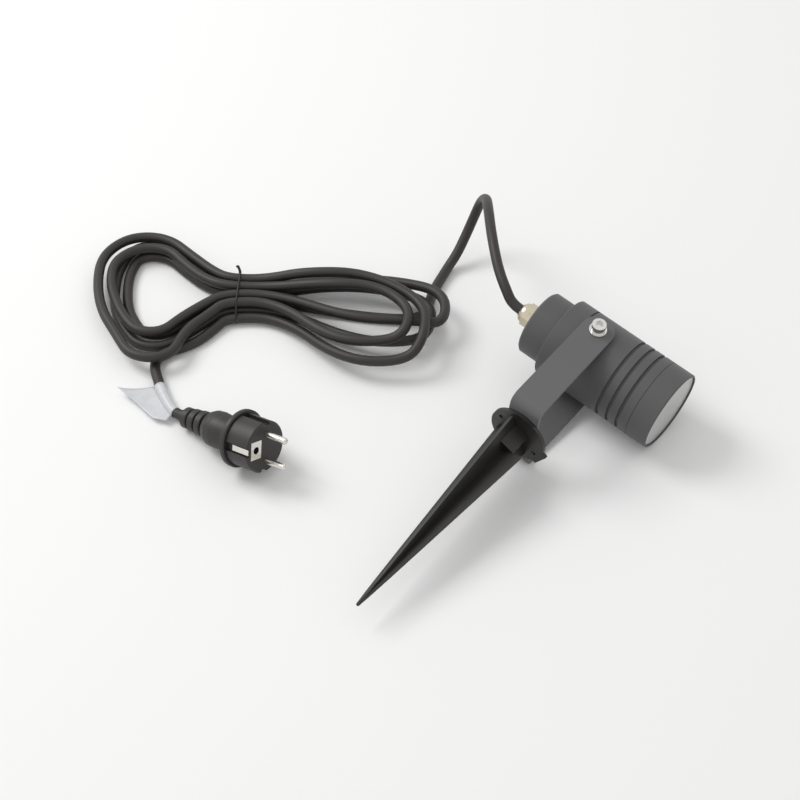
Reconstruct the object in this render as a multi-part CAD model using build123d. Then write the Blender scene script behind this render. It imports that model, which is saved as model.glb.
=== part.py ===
"""Garden spike spotlight, lying on the ground with its mains lead wound in a tied hank.

Millimetres, +Z up.  The lamp is built upright in its own frame, with the tilt axis at the
origin: +X along the tilt axis, +Y out of the front glass, +Z from the spike up to the head.
It is then laid on the three points it rests on: front rim, lower screw head, bracket corner.
"""
import os
from math import atan2, ceil, cos, dist, pi, radians, sin, sqrt, tan
from build123d import *

os.makedirs("parts", exist_ok=True)

# ---------------------------------------------------------------- clearances
SLIP = 0.04           # flat faces that turn on each other
FIT = 0.05            # a piece located in its seat
RUN = 0.08            # a shaft in its bearing hole
THREAD = 0.10         # a screwed ring on its thread
FREE = 0.30           # a loose piece beside its neighbour

# ---------------------------------------------------------------- lamp head, turned aluminium
head_d = 60.0
housing_front = 52.5          # joint between the housing and the front ring
housing_rear = 26.5           # rear face of the wide part, behind the tilt axis
housing_wall = 3.0
groove_first = 27.7           # cooling grooves, first one ahead of the tilt axis
groove_pitch = 8.25
groove_count = 3
groove_w = 2.4
groove_depth = 1.8
joint_at = -11.6              # fine groove behind the screws, level with the arms' rear edges
joint_w = 1.0
joint_depth = 1.1
ring_break = 0.4              # broken edges either side of the front ring's joint
mouth_wall = 2.0              # wall of the threaded spigot that the front ring screws on
mouth_len = 7.95
mouth_land = 8.0              # how far the narrow mouth bore runs back past the joint
web_t = 4.0                   # rear web of the housing
web_bore_d = 40.0
edge_break = 0.6              # broken edges of the turned parts

pad_d = 14.0                  # raised pad round each tilt screw
pad_gap = 0.4                 # how far the pad stands proud of the housing
boss_d = 12.0                 # tapped boss behind each pad
boss_len = 7.0

front_ring_len = 16.3
ring_web_t = 1.5
ring_lip_w = 1.5
ring_bore_d = 50.8
flat_seal_t = 0.8             # every flat rubber seal
glass_t = 4.0

seal_land = 4.3               # width of the rear seal outside the bore
cap_len = 18.7
cap_wall = 2.8
cap_back_t = 4.0
cap_chamfer = 1.5
cap_spigot_wall = 1.7
cap_spigot_len = 7.1

# ---------------------------------------------------------------- cable gland, plated brass
gland_thread_d = 12.0
gland_af = 15.5
gland_hex_t = 4.5
gland_nut_len = 8.7
gland_dome_len = 3.5
locknut_t = 3.0
insert_lip = 0.7
gland_bore_d = 8.6

# ---------------------------------------------------------------- mains lead
cable_d = 7.6
core_d = 2.4
earth_core_d = 2.4
lead_wire_d = 2.0
sheath_in = 5.8               # sheath end ahead of the cap's rear wall

# ---------------------------------------------------------------- lamp and its holder
holder_d = 26.0
holder_len = 19.5
pin_spacing = 10.0
pin_d = 5.0
pin_len = 7.5
lamp_d = 50.0
lamp_neck_d = 24.0
lamp_len = 47.0
lamp_neck_len = 11.0
lamp_cone_len = 22.0
lens_d = 44.0
lens_t = 2.0
strip_t = 1.5
strip_w = 14.0
strip_len = 53.0
post_d = 6.0
post_z = 23.5
post_len = 13.3
small_screw_d = 3.0
small_head_d = 5.5
small_head_t = 2.0
earth_z = 16.5
tag_t = 0.8
block_w = 18.0
block_h = 9.5
block_len = 11.0
block_pitch = 10.0

# ---------------------------------------------------------------- tilt bracket, bent strip
arm_t = 2.5
arm_w = 24.0
base_drop = 83.4              # tilt axis to the underside of the base
bend_r = 7.0

# ---------------------------------------------------------------- tilt screws, M6
screw_d = 6.0
screw_len = 16.0
screw_head_d = 10.0
screw_head_h = 5.0
screw_socket_af = 5.0
head_break = 0.5              # broken edge of the cap heads
flat_washer_d = 12.5
flat_washer_t = 1.2
spring_washer_t = 1.4
spring_gap = 1.0

# ---------------------------------------------------------------- spike, moulded
flange_d = 44.0
flange_t = 2.5
spike_len = 172.2             # flange underside to tip
rib_t = 2.5
rib_reach = 17.8
tip_r = 1.2
rib_turn = -25.0
nut_box_w = 12.0              # moulded block that holds the nut, set between two ribs
nut_box_front = 8.0
nut_box_back = 6.5
nut_box_len = 17.0
fix_hole_d = 3.8
fix_pcd = 33.2
fix_turn = 117.0
fix_count = 2
ear_reach = 24.0              # square ear of the flange, outside one of its holes
ear_w = 15.0
button_d = 10.5
button_h = 3.3
button_socket_af = 4.0
bolt_washer_d = 12.0
bolt_washer_t = 1.0
bolt_len = 16.0
nut_af = 10.0
nut_t = 5.0
nut_cover = 4.5               # plastic left above the captive nut

# ---------------------------------------------------------------- mains plug, moulded on
plug_face_d = 37.0
plug_front_len = 20.5
plug_ring_d = 41.6
plug_ring_t = 4.0
plug_waist_d = 23.2
plug_belly_d = 26.4
plug_grip_len = 54.0          # face to the end of the finger grip
plug_len = 80.0
plug_tail_d = 9.2
relief_core_d = 12.4
relief_rib_d = (18.4, 16.8, 15.2)   # three bending ribs behind the grip
relief_rib_t = 5.4
relief_gap = 2.0
guide_w = 6.0                 # guide notches in line with the pins
guide_depth = 2.6
recess_w = 6.4                # side recesses that hold the earth clips
recess_depth = 2.4
prong_d = 4.8
prong_len = 19.0
prong_spacing = 19.0
prong_root = 6.0
prong_root_d = 4.0
clip_w = 4.0
clip_t = 1.0
clip_len = 15.0
earth_offset = 9.5            # earth socket, from the line of the pins
plate_w = 13.0
plate_h = 10.0
plate_t = 1.0
earth_tube_d = 6.2
earth_tube_wall = 0.5
earth_tube_len = 14.0

# ---------------------------------------------------------------- hank, tie and label
turn_gap = 0.5                # air between one turn and the next
tie_d = 1.2                   # plastic-coated wire
tie_slack = 0.1
tie_end_len = 5.0
label_wrap = 0.45             # wrapped film round the cable
tail_lift = 0.85              # the label holds the tail this far off the ground
label_from = 0.12             # share of the tail where the wrap begins
label_to = 0.86
flag_t = 0.4
flag_fall = 8.5               # degrees that the flag slopes down from the wrap
flag_outline = ((-11.0, 25.0), (8.0, 17.5), (27.6, 12.2), (35.0, 4.5))   # along the wrap, and out

# where the cord lies
hank_place = (-84.9, 258.6)
plug_place = (-197.2, 130.7)
lead_exit_len = 8.5           # straight out of the gland
lead_points = ((1.9, 75.7, 58.5), (9.4, 87.8, 63.5), (19.3, 99.5, 68.5), (33.5, 114.0, 72.5),
               (52.8, 130.9, 71.0), (70.6, 145.6, 61.0), (77.4, 155.4, 47.5), (72.4, 157.8, 33.5),
               (63.1, 157.9, 21.5), (50.7, 156.7, 11.5))
lead_entry_len = 13.0         # straight into the hank
tail_corner = (-197.3, 224.5)
tail_out_len = 9.5
tail_in_len = 8.0

# Each hank loop: the run out of the waist and back, in the hank's own plane.  Reach is
# the far point along the hank; the heights are levels of cable, one on the other.
waist_low = (-4.1, -12.3, -4.1, -12.3, -20.6)
waist_high = (4.1, 12.3, 4.1, 12.3)
waist_level = (0, 0, 1, 1, 0)
left_reach = (85.5, 95.0, 97.5, 107.5)
left_reach_at = (18.0, 16.0, 18.0, 22.0)
left_low = ((-60.0, -40.0), (-60.0, -52.0), (-62.0, -45.0), (-58.0, -72.0))
left_low_lift = (0.0, 0.0, 0.0, 1.2)     # the widest loop rides over the tail
left_flank = ((-76.0, -26.0, 118), (-84.5, -31.0, 118), (-84.5, -26.0, 118), (-92.0, -37.0, 121))
left_high = ((-71.0, 44.0), (-71.0, 56.0), (-70.0, 45.0), (-75.0, 57.0))
left_run_low = ((-30.0, -21.0, 224), (-25.0, -28.5, 226), (-32.0, -22.0, 224), (-25.0, -31.0, 228))
left_run_high = ((-34.0, 19.0, -42), (-27.5, 26.5, -42), (-34.0, 19.0, -42), (-27.5, 26.5, -42))
right_high = ((85.0, 8.2), (93.5, 16.7), (86.0, -5.0), (70.0, 7.0))
right_reach = ((145.0, -26.0), (155.1, -24.4), (128.5, -42.0), (141.0, -48.0))
right_low = ((122.0, -48.0), (117.8, -32.8), (106.0, -56.0), (117.0, -72.0))
right_level = ((1, 1, 1), (1, 2, 2), (3, 3, 2), (3, 3, 1.5))
hank_in = (147.9, 21.0, 248.7)
hank_under = (128.8, -15.9)
hank_out = (-19.0, -37.0, 231)
hank_last = (-53.0, -78.0, 288)


# ================================================================ helpers
def tube_to(pts, radii, d):
    """Round tube along straight runs joined by arcs."""
    path = FilletPolyline(*pts, radius=radii)
    start = Plane(origin=path @ 0, z_dir=path % 0)
    return sweep(start * Circle(d / 2), path=path), path


def fair_radii(pts):
    """One radius for each corner, as large as its two runs allow."""
    v = [Vector(*p) for p in pts]
    out = []
    for a, b, c in zip(v, v[1:], v[2:]):
        turn = radians((b - a).get_angle(c - b))
        out.append(0.45 * min((b - a).length, (c - b).length) / tan(turn / 2))
    return out


def rod(axis, r, a, b, at=(0, 0)):
    """Cylinder along X, Y or Z from a to b; at is its place on the other two axes."""
    if axis == "X":
        frame = Plane(origin=(a, at[0], at[1]), x_dir=(0, 1, 0), z_dir=(1, 0, 0))
    elif axis == "Y":
        frame = Plane(origin=(at[0], a, at[1]), x_dir=(1, 0, 0), z_dir=(0, 1, 0))
    else:
        frame = Plane(origin=(at[0], at[1], a), x_dir=(1, 0, 0), z_dir=(0, 0, 1))
    return extrude(frame * Circle(r), b - a)


def hex_rod(axis, across, a, b, at=(0, 0)):
    """Hexagon bar along X, Y or Z from a to b, measured across its flats."""
    if axis == "X":
        frame = Plane(origin=(a, at[0], at[1]), x_dir=(0, 1, 0), z_dir=(1, 0, 0))
    elif axis == "Y":
        frame = Plane(origin=(at[0], a, at[1]), x_dir=(1, 0, 0), z_dir=(0, 1, 0))
    else:
        frame = Plane(origin=(at[0], at[1], a), x_dir=(1, 0, 0), z_dir=(0, 0, 1))
    return extrude(frame * RegularPolygon(across / 2, 6, major_radius=False), b - a)


def slab(x0, x1, y0, y1, z0, z1):
    """Rectangular block between two corners."""
    middle = Location(((x0 + x1) / 2, (y0 + y1) / 2, (z0 + z1) / 2))
    return middle * Box(x1 - x0, y1 - y0, z1 - z0)


def turned(profile):
    """Body of revolution about +Y from (radius, station) points."""
    outline = Plane.XY * make_face(Polyline(*profile, close=True))
    return revolve(outline, axis=Axis.Y, revolution_arc=360)


# ================================================================ head
r_head = head_d / 2
y_web = -housing_rear + web_t
y_mouth = housing_front + mouth_len
r_bore = r_head - housing_wall
r_spigot = r_bore + 0.5
r_mouth = r_spigot - mouth_wall
y_land = housing_front - mouth_land
pad_face = r_head + pad_gap
arm_in = pad_face + SLIP
arm_out = arm_in + arm_t
washer_face = arm_out + SLIP
head_under = washer_face + flat_washer_t + spring_washer_t

housing_line = [(r_bore, y_web), (web_bore_d / 2, y_web), (web_bore_d / 2, -housing_rear),
                (r_head - edge_break, -housing_rear), (r_head, -housing_rear + edge_break),
                (r_head, joint_at - joint_w / 2), (r_head - joint_depth, joint_at - joint_w / 2),
                (r_head - joint_depth, joint_at + joint_w / 2), (r_head, joint_at + joint_w / 2)]
for k in range(groove_count):
    y_groove = groove_first + k * groove_pitch
    housing_line += [(r_head, y_groove - groove_w / 2), (r_head - groove_depth, y_groove - groove_w / 2),
                     (r_head - groove_depth, y_groove + groove_w / 2), (r_head, y_groove + groove_w / 2)]
housing_line += [(r_head, housing_front - ring_break), (r_head - ring_break, housing_front),
                 (r_spigot, housing_front), (r_spigot, y_mouth), (r_mouth, y_mouth), (r_mouth, y_land), (r_bore, y_land)]
housing = turned(housing_line)
for side in (-1, 1):
    housing += rod("X", pad_d / 2, side * (r_head - housing_wall / 2), side * pad_face)
    housing += rod("X", boss_d / 2, side * (r_bore - boss_len), side * (r_bore + housing_wall / 2))
for side in (-1, 1):
    housing -= rod("X", screw_d / 2 + FIT, side * (r_bore - boss_len - 1), side * (pad_face + 1))
y_post = y_web + post_len
for side in (-1, 1):
    post = rod("Y", post_d / 2, y_web - web_t / 2, y_post, (0, side * post_z))
    housing += post - rod("Y", small_screw_d / 2 + FIT, y_post - 9, y_post + 1, (0, side * post_z))

# front ring, screwed on the mouth, with its glass on a flat gasket
y_lip = housing_front + front_ring_len
y_ring_seal = y_mouth + flat_seal_t
y_ring_web = y_ring_seal + ring_web_t
r_recess = r_head - ring_lip_w
front_ring = turned([(r_spigot + THREAD, housing_front), (r_head - ring_break, housing_front),
                     (r_head, housing_front + ring_break),
                     (r_head, y_lip - edge_break), (r_head - edge_break, y_lip), (r_recess, y_lip),
                     (r_recess, y_ring_web), (ring_bore_d / 2, y_ring_web),
                     (ring_bore_d / 2, y_ring_seal), (r_spigot + THREAD, y_ring_seal)])
ring_seal = turned([(ring_bore_d / 2 + 0.3, y_mouth), (r_spigot, y_mouth),
                    (r_spigot, y_ring_seal), (ring_bore_d / 2 + 0.3, y_ring_seal)])
y_glass = y_ring_web + flat_seal_t
glass_gasket = turned([(ring_bore_d / 2 + 0.3, y_ring_web), (r_recess - 0.2, y_ring_web),
                       (r_recess - 0.2, y_glass), (ring_bore_d / 2 + 0.3, y_glass)])
r_glass = r_recess - FIT
front_glass = turned([(0, y_glass), (r_glass, y_glass), (r_glass, y_glass + glass_t - 0.4),
                      (r_glass - 0.4, y_glass + glass_t), (0, y_glass + glass_t)])

# rear cap, screwed in the web on a flat seal
y_cap = -housing_rear - flat_seal_t
y_back = y_cap - cap_len
y_cup = y_back + cap_back_t
r_cap = web_bore_d / 2 + seal_land
r_cap_spigot = web_bore_d / 2 - THREAD
rear_cap = turned([(gland_thread_d / 2 + FIT, y_back), (r_cap - cap_chamfer, y_back),
                   (r_cap, y_back + cap_chamfer), (r_cap, y_cap), (r_cap_spigot, y_cap),
                   (r_cap_spigot, y_cap + cap_spigot_len),
                   (r_cap_spigot - cap_spigot_wall, y_cap + cap_spigot_len),
                   (r_cap_spigot - cap_spigot_wall, y_cap), (r_cap - cap_wall, y_cap),
                   (r_cap - cap_wall, y_cup), (gland_thread_d / 2 + FIT, y_cup)])
rear_cap += turned([(r_cap_spigot - cap_spigot_wall, y_cap - 1.2), (r_cap - cap_wall + 0.5, y_cap - 1.2),
                    (r_cap - cap_wall + 0.5, y_cap), (r_cap_spigot - cap_spigot_wall, y_cap)])
rear_seal = turned([(web_bore_d / 2, y_cap), (r_cap - 0.4, y_cap),
                    (r_cap - 0.4, -housing_rear), (web_bore_d / 2, -housing_rear)])

# ================================================================ cable gland
y_hex = y_back - flat_seal_t
y_nut = y_hex - gland_hex_t
y_gland_end = y_nut - gland_nut_len
y_exit = y_gland_end - insert_lip
r_thread = gland_thread_d / 2
y_thread_end = y_gland_end + gland_dome_len + 1.2
gland_washer = turned([(r_thread + FIT, y_hex), (gland_af / 2 - 0.3, y_hex),
                       (gland_af / 2 - 0.3, y_back), (r_thread + FIT, y_back)])
gland_body = hex_rod("Y", gland_af, y_nut, y_hex)
gland_body += rod("Y", r_thread, y_thread_end, y_cup + locknut_t + 1)
gland_body -= rod("Y", gland_bore_d / 2, y_thread_end - 1, y_cup + locknut_t + 2)
gland_body -= rod("Y", r_thread - 0.9, y_thread_end - 1, y_nut + 1)
gland_locknut = hex_rod("Y", gland_af, y_cup, y_cup + locknut_t)
gland_locknut -= rod("Y", r_thread + FIT, y_cup - 1, y_cup + locknut_t + 1)
gland_nut = hex_rod("Y", gland_af, y_gland_end + gland_dome_len, y_nut)
gland_nut += turned([(0, y_gland_end), (gland_af / 2 - 2.2, y_gland_end), (gland_af / 2 - 0.6, y_gland_end + 1.4),
                     (gland_af / 2 - 0.1, y_gland_end + gland_dome_len),
                     (gland_af / 2 - 0.1, y_gland_end + gland_dome_len + 1),
                     (0, y_gland_end + gland_dome_len + 1)])
gland_nut -= rod("Y", r_thread + FIT, y_thread_end - FREE, y_nut + 1)
gland_nut -= rod("Y", cable_d / 2 + 1.0, y_gland_end - 1, y_nut)
cable_grommet = rod("Y", cable_d / 2 + 0.9, y_exit, y_thread_end - FREE)
cable_grommet += rod("Y", r_thread - 0.9 - FIT, y_thread_end - FREE, y_nut + 0.5)
cable_grommet -= rod("Y", cable_d / 2 + FIT, y_exit - 1, y_nut + 1)
y_sheath = y_cup + sheath_in
cable_sheath_end = rod("Y", cable_d / 2, y_exit, y_sheath)

# ================================================================ tilt screws and washers
pivot_screws = []
spring_washers = []
flat_washers = []
x_screw_top = head_under + screw_head_h
for side in (-1, 1):
    shank = rod("X", screw_d / 2, side * (head_under - screw_len), side * (head_under + 1))
    cap_head = rod("X", screw_head_d / 2, side * head_under, side * x_screw_top)
    cap_head = chamfer(cap_head.edges().filter_by(GeomType.CIRCLE).sort_by(Axis.X)[-1 if side > 0 else 0], head_break)
    socket = hex_rod("X", screw_socket_af, side * (x_screw_top - screw_head_h / 2), side * (x_screw_top + 1))
    pivot_screws.append(shank + cap_head - socket)
    spring = rod("X", screw_head_d / 2, side * (head_under - spring_washer_t), side * head_under)
    spring -= rod("X", screw_d / 2 + FIT, side * (arm_out - 1), side * (head_under + 1))
    spring -= slab(min(side * arm_out, side * head_under), max(side * arm_out, side * head_under),
                   0, screw_head_d, -spring_gap / 2, spring_gap / 2)
    spring_washers.append(spring)
    flat = rod("X", flat_washer_d / 2, side * washer_face, side * (washer_face + flat_washer_t))
    flat_washers.append(flat - rod("X", screw_d / 2 + FIT, side * (arm_out - 1), side * head_under))

# ================================================================ lamp holder and lamp
y_strip = y_post + strip_t
holder_bracket = slab(-strip_w / 2, strip_w / 2, y_post, y_strip, -strip_len / 2, strip_len / 2)
holder_bracket &= rod("Y", r_bore - FREE, y_post - 1, y_strip + 1)
for side in (-1, 1):
    holder_bracket -= rod("Y", small_screw_d / 2 + FIT, y_post - 1, y_strip + 1, (0, side * post_z))
holder_bracket -= rod("Y", small_screw_d / 2 + FIT, y_post - 1, y_strip + 1, (0, earth_z))
holder_screws = []
for side in (-1, 1):
    screw = rod("Y", small_screw_d / 2, y_post - 8, y_strip + 1, (0, side * post_z))
    head = rod("Y", small_head_d / 2, y_strip, y_strip + small_head_t, (0, side * post_z))
    slot = slab(-small_head_d, small_head_d, y_strip + small_head_t - 0.8, y_strip + small_head_t + 1,
                side * post_z - 0.4, side * post_z + 0.4)
    holder_screws.append(screw + head - slot)
y_lamp = y_strip + holder_len
lamp_holder = rod("Y", holder_d / 2, y_strip, y_lamp)
lamp_holder = chamfer(lamp_holder.edges().filter_by(GeomType.CIRCLE).sort_by(Axis.Y)[-1], 1.0)
wire_x = holder_d / 2 - 3.5
wire_z = -6.0
for side in (-1, 1):
    pin_at = (side * pin_spacing / 2, 0)
    lamp_holder -= rod("Y", pin_d / 2 + FIT, y_lamp - pin_len - FIT, y_lamp + 1, pin_at)
    lamp_holder -= rod("Y", lead_wire_d / 2 + FIT, y_strip - 1, y_strip + 3, (side * wire_x, wire_z))
lamp_pins = []
for side in (-1, 1):
    pin_at = (side * pin_spacing / 2, 0)
    pin = rod("Y", pin_d / 2, y_lamp - pin_len, y_lamp - pin_len + 2.6, pin_at)
    lamp_pins.append(pin + rod("Y", pin_d / 2 - 1, y_lamp - pin_len + 1, y_lamp, pin_at))
y_lens = y_lamp + lamp_len
lamp_body = turned([(0, y_lamp), (lamp_neck_d / 2, y_lamp), (lamp_neck_d / 2, y_lamp + lamp_neck_len),
                    (lamp_d / 2, y_lamp + lamp_neck_len + lamp_cone_len), (lamp_d / 2, y_lens),
                    (lens_d / 2 + FIT, y_lens), (lens_d / 2 + FIT, y_lens - lens_t), (0, y_lens - lens_t)])
lamp_lens = rod("Y", lens_d / 2, y_lens - lens_t, y_lens)

# ================================================================ wiring inside the head
y_block = y_cup + block_len
z_block = -sqrt((r_cap - cap_wall - FREE) ** 2 - (block_w / 2) ** 2)
terminal_block = slab(-block_w / 2, block_w / 2, y_cup, y_block, z_block, z_block + block_h)
z_in = z_block + block_h - 2.6
z_out = z_block + 3.2
terminal_screws = []
for side in (-1, 1):
    x_pole = side * block_pitch / 2
    y_clamp = (y_cup + y_block) / 2
    terminal_block -= rod("Z", 1.6, z_block + block_h - 2.0, z_block + block_h + 1, (x_pole, y_clamp))
    clamp = rod("Z", 1.6 - FIT, z_block + block_h - 2.0, z_block + block_h - 0.3, (x_pole, y_clamp))
    clamp -= slab(x_pole - 2, x_pole + 2, y_clamp - 0.3, y_clamp + 0.3,
                  z_block + block_h - 0.9, z_block + block_h)
    terminal_screws.append(clamp)
cores = []
for side in (-1, 1):
    x_core = side * block_pitch / 2
    x_split = side * (core_d / 2 + FREE / 2)
    run = [(x_split, y_sheath, -1.2), (x_split, y_sheath + 5, -1.2), (x_core, y_sheath + 11, -4.4),
           (x_core, y_block + 6.4, z_in + 2.6), (x_core, y_block + 4.4, z_in), (x_core, y_block, z_in)]
    cores.append(tube_to(run, [0.3 * r for r in fair_radii(run)], core_d)[0])
live_core, neutral_core = cores
holder_leads = []
for side in (-1, 1):
    x_core = side * block_pitch / 2
    run = [(x_core, y_block, z_out), (x_core, y_cap + cap_spigot_len + 0.5, z_out),
           (side * wire_x, y_post - 6, wire_z - 2), (side * wire_x, y_strip - 2.5, wire_z),
           (side * wire_x, y_strip + 2.5, wire_z)]
    holder_leads.append(tube_to(run, [0.5 * r for r in fair_radii(run)], lead_wire_d)[0])
y_tag = y_post - tag_t
earth_run = [(0, y_sheath, core_d / 2 + 0.3), (0, y_sheath + 6, core_d / 2 + 0.3), (0, y_tag - 8, 6.0),
             (0, y_tag - earth_core_d / 2, earth_z - 5.0)]
earth_core = tube_to(earth_run, [0.6 * r for r in fair_radii(earth_run)], earth_core_d)[0]
earth_tag = rod("Y", 3.0, y_tag, y_post, (0, earth_z))
earth_tag += slab(-1.4, 1.4, y_tag, y_post, earth_z - 7.5, earth_z)
earth_tag -= rod("Y", small_screw_d / 2 + FIT, y_tag - 1, y_post + 1, (0, earth_z))
earth_screw = rod("Y", small_screw_d / 2, y_tag - 1, y_strip + 2, (0, earth_z))
earth_screw += rod("Y", small_head_d / 2, y_tag - small_head_t, y_tag, (0, earth_z))

# ================================================================ tilt bracket
z_base = -base_drop
z_floor_in = z_base + arm_t
outer = slab(-arm_out, arm_out, -arm_w / 2, arm_w / 2, z_base, arm_w / 2)
outer = fillet(outer.edges().filter_by(Axis.Y).group_by(Axis.Z)[0], bend_r)
inner = slab(-arm_in, arm_in, -arm_w, arm_w, z_floor_in, arm_w)
inner = fillet(inner.edges().filter_by(Axis.Y).group_by(Axis.Z)[0], bend_r - arm_t)
rounded = slab(-arm_out - 1, arm_out + 1, -arm_w / 2, arm_w / 2, z_base - 1, 0)
rounded += rod("X", arm_w / 2, -arm_out - 1, arm_out + 1)
yoke = (outer - inner) & rounded
yoke -= rod("X", screw_d / 2 + RUN, -arm_out - 1, arm_out + 1)
yoke -= rod("Z", screw_d / 2 + RUN, z_base - 1, z_floor_in + 1)

# ================================================================ spike
z_flange = z_base - SLIP
z_under = z_flange - flange_t
z_tip = z_under - spike_len
z_ball = z_tip + tip_r
slope = atan2(rib_reach - tip_r, z_under - z_ball)
cone = make_face(Polyline((0, z_under), (rib_reach, z_under),
                          (tip_r * cos(slope), z_ball - tip_r * sin(slope)))
                 + ThreePointArc((tip_r * cos(slope), z_ball - tip_r * sin(slope)),
                                 (tip_r * cos(pi / 4 + slope / 2), z_ball - tip_r * sin(pi / 4 + slope / 2)),
                                 (0, z_tip))
                 + Line((0, z_tip), (0, z_under)))
cone = revolve(Plane.XZ * cone, axis=Axis.Z, revolution_arc=360)
blades = slab(-rib_reach, rib_reach, -rib_t / 2, rib_t / 2, z_tip, z_under)
blades += slab(-rib_t / 2, rib_t / 2, -rib_reach, rib_reach, z_tip, z_under)
spike = Rot(0, 0, rib_turn) * (blades & cone)
z_box = z_under - nut_box_len
rib_top = slab(nut_box_front, rib_reach, -rib_t, rib_t, z_box, z_under)
spike -= Rot(0, 0, rib_turn + 90) * rib_top
spike += Rot(0, 0, rib_turn + 45) * slab(-nut_box_back, nut_box_front, -nut_box_w / 2, nut_box_w / 2, z_box, z_under)
spike += rod("Z", flange_d / 2, z_under, z_flange)
spike += Rot(0, 0, fix_turn) * slab(0, ear_reach, -ear_w / 2, ear_w / 2, z_under, z_flange)
for k in range(fix_count):
    turn = radians(fix_turn + k * 360 / fix_count)
    at = (fix_pcd / 2 * cos(turn), fix_pcd / 2 * sin(turn))
    spike -= rod("Z", fix_hole_d / 2, z_under - 1, z_base + 1, at)
z_bolt_washer = z_floor_in + SLIP
z_head = z_bolt_washer + bolt_washer_t
z_nut = z_under + flange_t - nut_cover - nut_t
spike -= rod("Z", screw_d / 2 + FIT, z_head - bolt_len - 1, z_base + 1)
pocket = hex_rod("Z", nut_af + 2 * FIT, z_nut - FIT, z_nut + nut_t)
pocket += slab(0, nut_box_w, -nut_af / 2 - FIT, nut_af / 2 + FIT, z_nut - FIT, z_nut + nut_t)
spike -= Rot(0, 0, rib_turn + 135) * pocket
spike_nut = Rot(0, 0, rib_turn + 135) * hex_rod("Z", nut_af, z_nut, z_nut + nut_t)
spike_nut -= rod("Z", screw_d / 2 + FIT, z_nut - 1, z_nut + nut_t + 1)
spike_bolt = rod("Z", screw_d / 2, z_head - bolt_len, z_head + 1)
button = rod("Z", button_d / 2, z_head, z_head + button_h)
button = fillet(button.edges().filter_by(GeomType.CIRCLE).sort_by(Axis.Z)[-1], button_h * 0.6)
spike_bolt += button
spike_bolt -= hex_rod("Z", button_socket_af, z_head + button_h - 2.0, z_head + button_h + 1)
spike_washer = rod("Z", bolt_washer_d / 2, z_bolt_washer, z_head)
spike_washer -= rod("Z", screw_d / 2 + FIT, z_floor_in - 1, z_head + 1)

lamp = {
    "housing": housing, "front_ring": front_ring, "ring_seal": ring_seal, "glass_gasket": glass_gasket,
    "front_glass": front_glass, "rear_cap": rear_cap, "rear_seal": rear_seal,
    "gland_washer": gland_washer, "gland_body": gland_body, "gland_locknut": gland_locknut,
    "gland_nut": gland_nut, "cable_grommet": cable_grommet, "cable_sheath_end": cable_sheath_end,
    "pivot_screws": pivot_screws, "spring_washers": spring_washers, "flat_washers": flat_washers,
    "holder_bracket": holder_bracket, "holder_screws": holder_screws, "lamp_holder": lamp_holder,
    "lamp_pins": lamp_pins, "lamp_body": lamp_body, "lamp_lens": lamp_lens,
    "terminal_block": terminal_block, "terminal_screws": terminal_screws, "live_core": live_core,
    "neutral_core": neutral_core, "holder_leads": holder_leads, "earth_core": earth_core,
    "earth_tag": earth_tag, "earth_screw": earth_screw,
    "yoke": yoke, "spike": spike, "spike_nut": spike_nut, "spike_bolt": spike_bolt,
    "spike_washer": spike_washer,
}

# ================================================================ how the lamp lies
up = Vector(0.98, -0.16, 0.08).normalized()
for _ in range(60):
    across = Vector(up.X, 0, up.Z).normalized()
    rim = Vector(0, y_lip - edge_break, 0) - across * r_head
    corner = Vector(-(arm_out - bend_r), arm_w / 2, z_base + bend_r) - across * bend_r
    knob = Vector(-x_screw_top, 0, 0) - Vector(0, up.Y, up.Z).normalized() * (screw_head_d / 2 - head_break)
    up = (corner - knob).cross(rim - knob).normalized()
    if up.X < 0:
        up = -up
ahead = (Vector(0, 0, 1) - up * up.Z).normalized()
left = up.cross(ahead)
pivot_h = -knob.dot(up)
lay = Plane(origin=(0, 0, pivot_h), x_dir=(ahead.X, left.X, up.X), z_dir=(ahead.Z, left.Z, up.Z)).location


def placed(shape):
    """Solids of one node, laid on the ground."""
    shapes = shape if isinstance(shape, list) else [shape]
    return [s for piece in shapes for s in (lay * piece).solids()]


def from_lamp(x, y, z):
    """A point of the lamp's own frame, on the ground."""
    return (lay * Pos(x, y, z)).position


nodes = {name: placed(shape) for name, shape in lamp.items()}
exit_at = from_lamp(0, y_exit, 0)
exit_way = (from_lamp(0, y_exit - 1, 0) - exit_at).normalized()

# ================================================================ hank
floor_z = cable_d / 2
layer = cable_d + turn_gap
tie_lift = tie_d + 2 * tie_slack
hank_x = Vector(0.5948, -0.8039, 0).normalized()
hank_y = Vector(0, 0, 1).cross(hank_x)
hank_at = Vector(*hank_place, 0)


def hank_node(x, y, level, heading, lift=0.0):
    """Point of the hank and the way the cable runs there."""
    way = hank_x * cos(radians(heading)) + hank_y * sin(radians(heading))
    return hank_at + hank_x * x + hank_y * y + Vector(0, 0, floor_z + level * layer + lift), way


loops = [hank_node(*hank_in[:2], 0, hank_in[2]), hank_node(*hank_under, 0, 180)]
for k in range(len(waist_high)):
    level = waist_level[k]
    loops.append(hank_node(0, waist_low[k], level, 180, tie_lift))
    loops.append(hank_node(*left_run_low[k][:2], level, left_run_low[k][2]))
    loops.append(hank_node(*left_low[k], level, 180, left_low_lift[k]))
    loops.append(hank_node(*left_flank[k][:2], level, left_flank[k][2]))
    loops.append(hank_node(-left_reach[k], left_reach_at[k], level, 90))
    loops.append(hank_node(*left_high[k], level, 0))
    loops.append(hank_node(*left_run_high[k][:2], level, left_run_high[k][2]))
    loops.append(hank_node(0, waist_high[k], level, 0, tie_lift))
    loops.append(hank_node(*right_high[k], right_level[k][0], 0))
    loops.append(hank_node(*right_reach[k], right_level[k][1], -90))
    loops.append(hank_node(*right_low[k], right_level[k][2], 180))
loops.append(hank_node(0, waist_low[-1], waist_level[-1], 180, tie_lift))
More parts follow.
